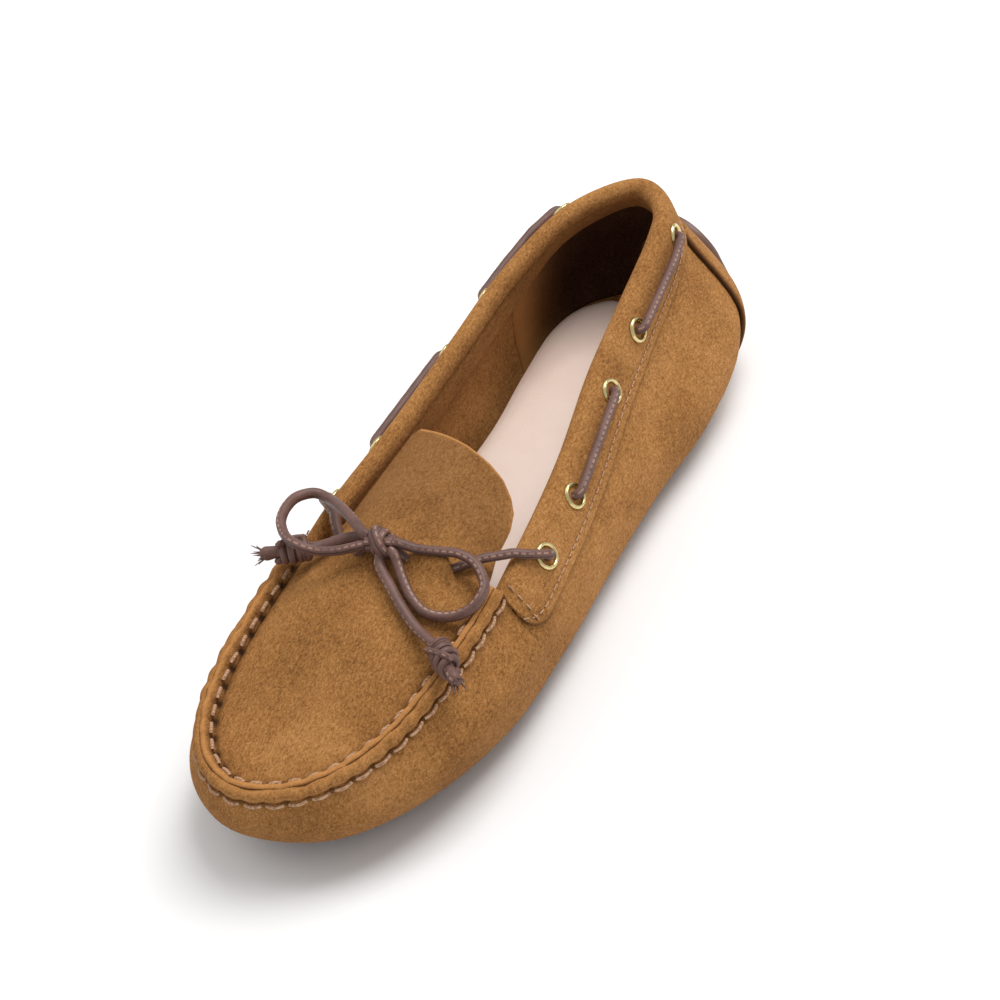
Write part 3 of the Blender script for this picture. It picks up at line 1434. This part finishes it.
@dataclass
class Forepart:
    """The wrap, the apron with its tongue, and the raised hand-sewn seam between them."""

    wrap_thick: float = 2.0
    apron_thick: float = 1.8
    pitch: float = 5.9
    collar_depth: float = 13.3
    hinge_x: float = 30.0
    lip: tuple = (
        (-0.05, 3.75), (-0.4, 4.0), (-1.25, 3.95), (-1.75, 3.5), (-1.95, 2.7), (-2.0, 1.6), (-2.15, 0.5),
        (-2.7, -0.35))
    behind: tuple = (
        (-0.12, 3.6), (-0.12, 3.4), (-0.12, 3.2), (-0.12, 2.8), (-0.12, 2.0), (-0.12, 1.0), (-0.12, 0.0),
        (-0.4, -1.6))
    flange: tuple = ((1.9, -0.3), (2.65, 0.9), (2.8, 2.2), (2.35, 3.15), (1.5, 3.55), (0.4, 3.62), (0.05, 3.5))
    shares: tuple = (
        0, 0.05, 0.1, 0.16, 0.22, 0.3, 0.38, 0.46, 0.53, 0.6, 0.67, 0.73, 0.78, 0.83, 0.87, 0.91, 0.95)
    reach: tuple = (
        (-27, -8), (-25.5, -9), (-20, -7.4), (-8, -4.2), (2, -1.5), (13, 2.2), (19, 5), (23.5, 9), (26, 13),
        (27, 18))
    slit: tuple = ((39.2, 20.9, 2.0), (41.4, 21.3, 2.6), (43.6, 21.8, 1.0), (45.6, 22.4, 0.0))
    lifted: tuple = (
        (36.6, 26.0), (39.0, 23.8), (41.3, 21.4), (42.3, 17.4), (43.2, 13.4), (44.0, 10.4), (44.6, 7.0))
    lifts: tuple = ((0, 0), (2.5, -0.8), (6.1, -1.3), (6.6, 3.5), (11, 2.8), (16, 2.0), (21, 0.8))

    def __post_init__(self) -> None:
        """Measures the seam's length, so that stitches and gathers keep step."""
        self.start = float(LAST.station(LAST.seam_start_x, 1))
        self.seam_s = np.linspace(self.start, STATIONS - self.start, 900)
        self.seam_run = lengths(LAST.rail(3, self.seam_s))

    def phase(self, s: Array) -> Array:
        """How many stitches along the seam a station lies."""
        return np.interp(np.mod(s, STATIONS), self.seam_s, self.seam_run) / self.pitch

    def gather(self, s: Array) -> Array:
        """0 where the thread pulls the suede in, 1 between."""
        return (0.5 - 0.5 * np.cos(2 * math.pi * self.phase(s))) ** 0.45

    def seam(self) -> tuple[Array, Array, Array]:
        """Many points of the seam with its two directions."""
        return LAST.seam_frame(np.linspace(self.start, STATIONS - self.start, 700))

    def even_stations(self, count: int) -> Array:
        """Stations at equal distances along the outer half of the seam."""
        s = np.linspace(self.start, TOE, 400)
        run = lengths(LAST.rail(3, s))
        return np.interp(np.linspace(0, run[-1], count), run, s)

    def stations(self) -> Array:
        """Stations of the wrap all round, close together along the seam."""
        rear = np.arange(0, self.start - 0.03, 0.11)
        half = np.concatenate([rear, [self.start - 0.012], self.even_stations(150)])
        return np.concatenate([half, (STATIONS - half[1:-1])[::-1]])

    def spine(self, s: Array, lift: float) -> Array:
        """Middle line of the sole under each station."""
        edge, facing = LAST.rail(0, s), LAST.rail(0, -s)
        x = np.clip((edge[:, 0] + facing[:, 0]) / 2, -130, 130) * 0.9
        y = (edge[:, 1] + facing[:, 1]) / 2
        return np.column_stack([x, y, LAST.sole(x, y) + lift])

    def floor_rows(self, s: Array, start: Array, lift: float) -> list[Array]:
        """Rows of the sole from the middle line out to the edge."""
        middle = self.spine(s, lift)
        rows = [middle]
        over = start[:, 2] - LAST.sole(start[:, 0], start[:, 1]) - lift
        for f in (0.8, 0.6, 0.42, 0.27, 0.15, 0.06):
            p = start + (middle - start) * f
            p[:, 2] = LAST.sole(p[:, 0], p[:, 1]) + lift + (1 - f) ** 3 * over
            rows.append(p)
        return rows

    def wrap(self, windows: Sequence[Piece]) -> None:
        """The one-piece wrap with its gathered flange and its windows."""
        s = self.stations()
        a = np.minimum(s, STATIONS - s)
        sewn = a >= self.start
        depth = np.where(sewn, 0.0, np.where(a > self.start - 0.06, 9.0, self.collar_depth))
        v_top = LAST.at_depth(s, depth[:, None])[:, 0]
        g = self.gather(s)
        fade = smooth((a - self.start) / 0.12)
        outer = []
        for share in self.shares:
            v = share * v_top
            p = LAST.wall(s, v)
            below = np.linalg.norm(p - LAST.rail(3, s), axis=1)
            flare = 1.5 * (1 - smooth(below / 8.0)) * sewn
            pull = fade * (g - 0.75) * (1.05 * np.exp(-((below / 3.0) ** 2)) + 0.3 * np.exp(-below / 6))
            outer.append(p + LAST.normal(s, v) * (flare + pull)[:, None])
        origin, up, side = LAST.seam_frame(s)
        tip = LAST.wall(s, v_top)
        tip_in = LAST.offset(s, v_top, -self.wrap_thick)
        wave = 0.22 * np.sin(self.phase(s) * 2.3) + 0.18 * np.sin(self.phase(s) * 5.1 + 1)
        rim = []
        for k, (out, rise) in enumerate(self.flange):
            swell = np.array([0.85, 0.6, 0.3, 0.15, 0.08, 0, 0])[k] * (g - 0.8) * fade
            lift = rise + (wave + 0.35 * (g - 0.5)) * smooth(rise / 3.0)
            sewn_row = origin + side * (out + swell)[:, None] + up * lift[:, None]
            plain = tip + (tip_in - tip) * (k / (len(self.flange) - 1))
            rim.append(np.where(sewn[:, None], sewn_row, plain))
        floor = self.floor_rows(s, outer[0], 0.0)
        front = np.stack([*floor, *refined(np.stack([*outer, *rim], 1), 2).swapaxes(0, 1)], 1)
        inner_floor = self.floor_rows(s, LAST.offset(s, 0.0, -self.wrap_thick), self.wrap_thick)
        count = front.shape[1] - len(inner_floor)
        heights = [min(1.0, k / (count - 1) * 1.02) for k in range(count)]
        inner_rows = [LAST.offset(s, v_top * height, -self.wrap_thick) for height in heights]
        last = origin + side * 0.15 + up * 2.2
        inner_rows[-1] = np.where(sewn[:, None], last, tip_in)
        back = np.stack([*inner_floor, *inner_rows], 1)
        piece = shell("wrap_suede", front, back, closed=True, zipped=True)
        cut(piece, windows)
        self.mark_wrap(piece)
        settled(piece, Finish.SUEDE, "moccasin_wrap")

    def mark_wrap(self, piece: Piece) -> None:
        """Darkens the cut edges of the flange and the windows."""
        p = points_of(piece)
        origin, up, side = self.seam()
        marks = 0.4 * near_line(p, origin + side * 0.6 + up * 3.6, 1.3)
        origin, up, side = LAST.seam_frame(self.holes())
        marks -= 0.9 * near_line(p, origin + side * 2.6 + up * 0.2, 1.9)
        marks -= 0.36 * smooth((30 - p[:, 2]) / 26) * smooth((p[:, 0] - 10) / 70)
        paint(piece, marks)

    def holes(self, shift: float = 0.0) -> Array:
        """Stations of the needle holes, or of places moved on from them by a share of the pitch."""
        run = (np.arange(int(self.seam_run[-1] / self.pitch) + 1) + shift) * self.pitch
        return np.interp(run, self.seam_run, self.seam_s)

    def apron(self) -> None:
        """The apron and tongue in one piece, its edge turned up inside the seam."""
        w = np.concatenate([
            np.linspace(1, 0.8, 11)[1:], np.linspace(0.8, -0.8, 57)[1:-1], np.linspace(-0.8, -1, 11)[:-1]])
        front, back = [], []
        for a in self.even_stations(130)[::-1]:
            rows = {}
            for sign in (1, -1):
                here = np.array([a * sign])
                origin, up, side = (q[0] for q in LAST.seam_frame(here))
                tuck = 0.4 * (float(self.gather(here)[0]) - 0.5)
                beat = float(self.phase(here)[0])
                wave = 0.2 * math.sin(beat * 2.1) + 0.14 * math.sin(beat * 4.7 + 1)
                lip = [(o - tuck * (h < 3), h + (tuck + wave) * (h > 2)) for o, h in self.lip]
                rows[sign] = (
                    [origin + side * o + up * h for o, h in lip],
                    [origin + side * o + up * h for o, h in self.behind], origin - side * 2.0,
                )
            p, q = LAST.rail(3, a), LAST.rail(3, -a)
            x = self.hinge_x + ((p[0] + q[0]) / 2 - self.hinge_x) * 0.86
            middle = np.array([x, (p[1] + q[1]) / 2, (p[2] + q[2]) / 2 + float(LAST.crown(np.array(x)))])
            across = []
            for value in w:
                corner = rows[1][2] if value >= 0 else rows[-1][2]
                point = corner + (middle - corner) * (1 - abs(value))
                point[2] = corner[2] + (middle[2] - corner[2]) * (1 - value * value)
                point[2] -= 0.55 * max(0.0, (abs(value) - 0.86) / 0.14) ** 2
                across.append(point)
            under = [p - unit(np.array([0, value * 0.5, 1.0])) * self.apron_thick for p, value in zip(across, w)]
            front.append(self.raised(np.array([*rows[1][0], *across, *rows[-1][0][::-1]])))
            back.append(self.raised(np.array([*rows[1][1], *under, *rows[-1][1][::-1]])))
        wide = np.concatenate([np.linspace(1.0, 0.985, 8), w * 0.98, np.linspace(-0.985, -1.0, 8)])
        for t in np.concatenate([[0.004, 0.03], np.linspace(0.05, 0.97, 76), [0.99, 1.0]]):
            top, under = self.tongue_row(wide, float(t))
            front.append(self.raised(top))
            back.append(self.raised(under))
        piece = shell("apron_suede", np.array(front), np.array(back))
        self.mark_apron(piece)
        dress(piece, Finish.SUEDE)
        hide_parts("apron", "tongue_flap")
        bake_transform(piece)
        report(piece)

    def raised(self, p: Array) -> Array:
        """Points lifted by the lace that runs under the apron from the slit to the knot."""
        line = resample(np.array(self.lifted), 120)
        away = np.sqrt(((p[:, None, :2] - line[None]) ** 2).sum(2))
        lift = np.interp(lengths(line)[away.argmin(1)], *zip(*self.lifts))
        p[:, 2] += lift * np.exp(-((away.min(1) / 3.3) ** 2))
        return p

    def tongue_row(self, w: Array, t: float) -> tuple[Array, Array]:
        """Upper and lower points of one row behind the seam.

        Args:
            w: Places across, from 1 at the outer edge to -1 at the inner edge.
            t: 0 at the seam's end, 1 at the tongue's free edge.

        Returns:
            The two rows.
        """
        end = np.interp(w * 27, *zip(*self.reach))
        begin = LAST.seam_start_x - 1.5 * (1 - np.abs(w))
        x = begin + (end - begin) * t
        p, q = (LAST.top(np.clip(x, *VAMP_ENDS), side) for side in (1, -1))
        inset = np.interp(x, (15, 29, 37, 41), (6.0, 5.8, 4.0, 2.0))
        drop = np.interp(x, (36, 41), (1.5, 0.0))
        y = (p[:, 1] + q[:, 1]) / 2 + w * ((p[:, 1] - q[:, 1]) / 2 - inset)
        z = (p[:, 2] + q[:, 2]) / 2 - drop + (LAST.crown(x) + drop) * (1 - w * w)
        curl = 0.5 * smooth((t - 0.7) / 0.3) * (1 - w * w)
        edge = 0.35 * self.apron_thick * smooth((t - 0.965) / 0.035)
        slope = unit(np.column_stack([np.zeros_like(w), w * 0.62, np.ones_like(w)]))
        top = np.column_stack([x, y, z + curl])
        return top - slope * edge, top - slope * (self.apron_thick - edge)

    def mark_apron(self, piece: Piece) -> None:
        """Makes the cut edges of the flange and of the tongue paler."""
        p = points_of(piece)
        origin, up, side = self.seam()
        w = np.linspace(-1, 1, 200)
        rim = np.vstack(self.tongue_row(w, 1.0))
        marks = near_line(p, np.vstack([origin - side * 0.95 + up * 4.1, rim]), 1.5)
        origin, up, side = LAST.seam_frame(self.holes())
        pulled = origin - side * 2.4 + up * 0.4
        marks -= near_line(p, pulled, 2.0) + 0.35 * near_line(p, pulled, 3.4)
        marks -= near_line(p, resample(LAST.over_vamp(self.slit), 30), 1.1)
        marks -= 0.36 * smooth((46 - p[:, 0]) / 26) * (marks < 0.3)
        paint(piece, marks)

    def seam_threads(self) -> None:
        """The thick hand stitches on both sides of the raised seam."""
        s = self.holes(0.5)[:-1]
        origin, up, side = LAST.seam_frame(s)
        outer = (origin + side * 3.0 + up * 0.1, side * 0.9 + up * 0.1)
        inner = (origin - side * 2.45 + up * 1.7, up * 0.8 - side * 0.6)
        LOG.info("hand seam: %d stitches a side", len(s))
        rows = (
            (outer, StitchRow("seam_thread_outer", self.pitch, 4.9, 1.0, rise=0.75, wobble=0.07)),
            (inner, StitchRow("seam_thread_inner", self.pitch, 3.2, 1.2, rise=0.35, wobble=0.14, seed=5)),
        )
        for line, row in rows:
            row.build([line], even=False)

    def build(self, windows: Sequence[Piece]) -> None:
        """Makes the forepart."""
        self.wrap(windows)
        self.apron()
        self.seam_threads()


# ------------------------------------------------------------------ collar


@dataclass
class Collar:
    """The collar band with its rolled rim, its threads and its eyelets."""

    depth: float = 18.0
    front_x: float = 40.6
    corner: float = 8.5
    rim: float = 3.2
    eyelet_depth: float = 7.6
    eyelet_hole: float = 2.75
    eyelet_flange: float = 4.1
    thread_depth: float = 15.0
    spacing: float = 30.0
    skin: tuple = (
        (0.5, 18.15), (1.15, 18.25), (1.65, 17.9), (1.8, 17.1), (1.8, 16.0), (1.55, 15.0), (1.9, 14.0),
        (2.3, 12.2),
        (2.5, 9.5), (2.6, 6.0), (2.4, 3.2), (1.46, 1.0), (0.4, 0.25), (-0.8, 0), (-2.0, 0.25), (-3.1, 1.0),
        (-4.0, 3.0), (-3.85, 4.6), (-3.12, 5.4), (-3.6, 6.5), (-3.95, 9.0), (-3.85, 13.0), (-3.7, 16.0),
        (-3.5, 17.0), (-3.1, 17.15))
    lining: tuple = (
        (0.4, 17.9), (0.4, 17.6), (0.4, 17.0), (0.4, 16.4), (0.4, 15.6), (0.4, 14.8), (0.4, 14.0), (1.1, 12.2),
        (1.2, 9.5), (1.2, 6.0), (1.2, 3.6), (0.6, 2.0), (0.0, 1.5), (-0.8, 1.3), (-1.6, 1.5), (-2.2, 2.2),
        (-2.7, 3.4), (-2.75, 4.4), (-2.75, 5.4), (-2.8, 6.6), (-2.85, 9.0), (-2.85, 13.0), (-2.85, 15.6),
        (-2.85, 16.4), (-2.85, 16.8))

    @property
    def end(self) -> float:
        """Station of the band's front end."""
        return float(LAST.station(self.front_x, 1))

    def stations(self) -> Array:
        """Stations of the band from its inner front end round the heel to its outer front end."""
        end = self.end
        half = np.concatenate([np.arange(0.0, end - 0.5, 0.07), end - 0.5 * np.linspace(1, 0, 26) ** 1.4])
        return np.concatenate([-half[:0:-1], half])

    def low_edge(self, s: Array) -> Array:
        """How far down the band reaches, less at its rounded front corners."""
        left = (self.end - np.abs(s)) * self.spacing
        bite = np.clip(1 - left / self.corner, 0, 1)
        return self.depth - self.corner * (1 - np.sqrt(np.maximum(0, 1 - bite * bite))) * 0.95

    def grid(self, section: tuple, s: Array) -> Array:
        """The section laid round the collar."""
        out, down = (np.array(c) for c in zip(*section))
        share = (self.low_edge(s) - self.rim) / (self.depth - self.rim)
        depth = np.where(down[None] > self.rim, self.rim + (down[None] - self.rim) * share[:, None], down[None])
        tapered = smooth((np.abs(s) - self.end + 0.4) / 0.4)[:, None]
        thin = 0.4 * tapered * (down[None] > 1.5) * (out[None] > 0.5)
        return LAST.collar(s, 0.4 + (out[None] - 0.4) * (1 - thin), depth)

    def band(self) -> None:
        """The band itself."""
        s = self.stations()
        front = refined(self.grid(self.skin, s), 2)
        back = refined(self.grid(self.lining, s), 2)
        piece = shell("collar_band_suede", front, back)
        p = points_of(piece)
        edge = self.grid(((1.3, 18.2), (0.6, 18.1)), s).reshape(-1, 3)
        crease = self.grid(((-3.2, 5.4), (-3.2, 5.5)), s).reshape(-1, 3)
        paint(piece, -0.8 * near_line(p, edge, 1.2) - 0.4 * near_line(p, crease, 1.3))
        settled(piece, Finish.SUEDE, "collar_band")

    def threads(self) -> None:
        """The stitch line above the band's lower edge and up its front ends."""
        s = self.stations()[3:-3]
        grid = self.grid(((1.75, self.thread_depth),), s)[:, 0]
        lines = [(grid, LAST.normal(s, LAST.at_depth(s, [self.thread_depth])[:, 0]))]
        for side in (1, -1):
            at = LAST.station(self.front_x - 3.6, side)
            down = np.linspace(2.5, 13.5, 30)
            out = np.interp(down, (2.5, 9.5, 13.5), (2.35, 2.6, 2.0))
            line = LAST.collar([at], out - 0.35, down)[0]
            lines.append((line, LAST.normal(at, LAST.at_depth([at], down)[0])))
        StitchRow("band_thread", 3.1, 2.1, 0.5, rise=0.1).build(lines)

    def eyelet(self, number: int, x: float, side: int) -> None:
        """One eyelet with a rolled flange and a barrel."""
        s = LAST.station(x, side)
        v = LAST.at_depth([s], [self.eyelet_depth])[0, 0]
        centre, normal = LAST.wall(s, v), LAST.normal(s, v)
        hole, wide, face = self.eyelet_hole, self.eyelet_flange, 2.55
        roll = [
            (hole + (wide - hole) / 2 - (wide - hole) / 2 * math.cos(a), face + 0.95 * math.sin(a))
            for a in np.linspace(0, math.pi, 11)
        ]
        back = [(wide - 0.25, face - 0.1), (hole + 0.5, face - 0.15), (hole + 0.5, 0.4)]
        profile = np.array([(hole, 0.4), *roll, *back])
        across = unit(np.cross(normal, (0, 0, 1)))
        up = np.cross(across, normal)
        angle = np.linspace(0, 2 * math.pi, 36, endpoint=False)
        ring = np.cos(angle)[:, None] * across + np.sin(angle)[:, None] * up
        grid = centre + ring[:, None] * profile[None, :, :1] + normal * profile[None, :, 1:]
        n, m = grid.shape[:2]
        faces = grid_faces(n, m, 0, True)
        faces += [(k * m + m - 1, ((k + 1) % n) * m + m - 1, ((k + 1) % n) * m, k * m) for k in range(n)]
        node = f"eyelet_{'outer' if side > 0 else 'inner'}_{number}"
        piece = make_object(f"{node}_brass", grid.reshape(-1, 3), faces)
        settled(piece, Finish.BRASS, node)

    def build(self, eyelet_x: Sequence[float]) -> None:
        """Makes the collar."""
        self.band()
        self.threads()
        for side in (1, -1):
            for number, x in enumerate(eyelet_x, 1):
                self.eyelet(number, x, side)


# ------------------------------------------------------------------ heel and insole


@dataclass
class Heel:
    """The suede tab, the rubber pod and the lining at the back of the heel."""

    tab_out: float = 2.0
    tab_in: float = 0.5
    band_depth: float = 18.0
    pod_middle: tuple = (0.02, 0.33)
    pod_rings: tuple = (
        (0.97, 0.6), (1.0, 1.8), (1.0, 3.0), (0.995, 3.8), (0.975, 4.4), (0.94, 4.7), (0.88, 4.8),
        (0.7, 4.78), (0.45, 4.74), (0.2, 4.7))
    lining_end: float = 2.9

    def tab(self) -> None:
        """The tab, narrow at the collar and wide at the bottom."""
        across = np.linspace(-1, 1, 61)
        rows = np.linspace(0, 1, 40)
        s = across[:, None] * (1.8 - 0.62 * rows[None] ** 0.9)
        top = LAST.at_depth(s[:, -1], [self.band_depth + 0.6])
        v = 0.1 + (top - 0.1) * rows[None]
        puff = 0.35 * (1 - across[:, None] ** 8)
        edge = np.minimum(1, (1 - np.abs(across)) * 40)[:, None]
        front = LAST.offset(s, v, self.tab_out - 0.7 + 0.5 * edge + puff)
        back = LAST.offset(s, v, self.tab_in)
        piece = shell("heel_tab_suede", front, back)
        side = np.concatenate([front[0], front[-1], back[0], back[-1]])
        paint(piece, -0.95 * near_line(points_of(piece), side, 2.0))
        settled(piece, Finish.SUEDE, "heel_tab")

    def pod(self) -> None:
        """The rubber pod, rounded at its edge."""
        t = np.linspace(0, 2 * math.pi, 64, endpoint=False)

        def power(a: Array) -> Array:
            """Rounded-square shape."""
            return np.sign(a) * np.abs(a) ** 0.6

        width = np.where(np.sin(t) > 0, 0.62, 0.72)
        s0, v0 = self.pod_middle
        ds, dv = width * power(np.cos(t)), 0.19 * power(np.sin(t))
        rings = [LAST.offset(s0 + ds * k, v0 + dv * k, out) for k, out in self.pod_rings]
        piece = lofted("heel_back_pod_rubber", rings)
        settled(piece, Finish.RUBBER, "heel_back_pod")

    def lining(self) -> None:
        """The dark lining inside the heel."""
        s = np.linspace(-self.lining_end, self.lining_end, 90)
        high = LAST.at_depth(s, [self.band_depth - 1.4])
        v = 0.1 + (high - 0.1) * np.linspace(0, 1, 28)[None]
        thin = 0.8 * smooth((self.lining_end - np.abs(s)) / 0.12)[:, None]
        front = LAST.offset(s[:, None], v, -2.1)
        back = LAST.offset(s[:, None], v, -2.15 - thin)
        piece = shell("heel_lining_suede", front, back)
        paint(piece, near_line(points_of(piece), front[[0, -1]].reshape(-1, 3), 36.0))
        settled(piece, Finish.LINING, "heel_grip_lining")

    def build(self) -> None:
        """Makes the heel pieces."""
        self.tab()
        self.pod()
        self.lining()


@dataclass
class Insole:
    """The sock leather and the board under it."""

    inset: float = 1.6
    lift: float = 1.8
    thin: float = 1.2
    thick: float = 1.5
    wrap_thick: float = 2.0
    board_lift: float = 4.3
    heel_wedge: float = 5.5

    def under(self, p: Array) -> Array:
        """Height of the sock's underside."""
        x, y = p[..., 0], p[..., 1]
        board = LAST.sole_base + self.wrap_thick + self.board_lift + LAST.toe_spring(x)
        board += self.heel_wedge * smooth((20 - x) / 100)
        lowest = LAST.sole(x, y) + self.wrap_thick + 0.6 + self.lift + self.thin
        return np.maximum(board, lowest) + 0.3

    def rim(self, s: Array) -> Array:
        """Edge of the sock in plan."""
        p, q = LAST.rail(0, s), LAST.rail(0, -s)
        middle = (p[:, 1] + q[:, 1]) / 2
        x = np.clip(p[:, 0], -113, 114)
        short = np.abs(p[:, 0] - x) / 12
        half = np.maximum(0, (np.abs(p[:, 1] - middle) - self.inset) * (1 - 0.2 * short))
        return np.column_stack([x, middle + np.where(s > TOE, -1, 1) * half])

    def sock(self) -> None:
        """The pale sock, slightly cushioned, with a soft edge."""
        half = np.linspace(0, TOE, 121)
        s = np.concatenate([half, (STATIONS - half[1:-1])[::-1]])
        rim = self.rim(s)
        facing = self.rim(np.mod(-s, STATIONS))
        spine = np.column_stack([rim[:, 0] * 0.85, (rim[:, 1] + facing[:, 1]) / 2])
        top, low = [], []
        for f in (0, 0.2, 0.4, 0.6, 0.78, 0.9, 0.96, 0.985, 1.0):
            p = spine + (rim - spine) * f
            z = self.under(p)
            soft = self.thick * (1 - smooth((f - 0.9) / 0.1) * 0.6) + 0.5 * (1 - f**4)
            top.append(np.column_stack([p, z + soft]))
            low.append(np.column_stack([p, z]))
        piece = shell("sock_leather", np.stack(top, 1), np.stack(low, 1), closed=True, zipped=True)
        settled(piece, Finish.SOCK, "sock_insole")

    def build(self) -> None:
        """Makes the sock and dresses the board, whose CAD shape is kept."""
        self.sock()
        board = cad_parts["insole_board"]
        board.data.materials.clear()
        board.data.materials.append(material_of(Finish.FOAM))


# ------------------------------------------------------------------ assembly


def main() -> None:
    """Builds the studio and the shoe."""
    logging.basicConfig(level=logging.INFO, format="%(message)s")
    Studio().build()
    lacing = Lacing()
    lacing.build()
    sole = Sole()
    sole.build()
    Forepart().build([pod.window() for pod in sole.pods])
    Collar().build(lacing.eyelet_x)
    Heel().build()
    Insole().build()


if __name__ == "__main__":
    main()
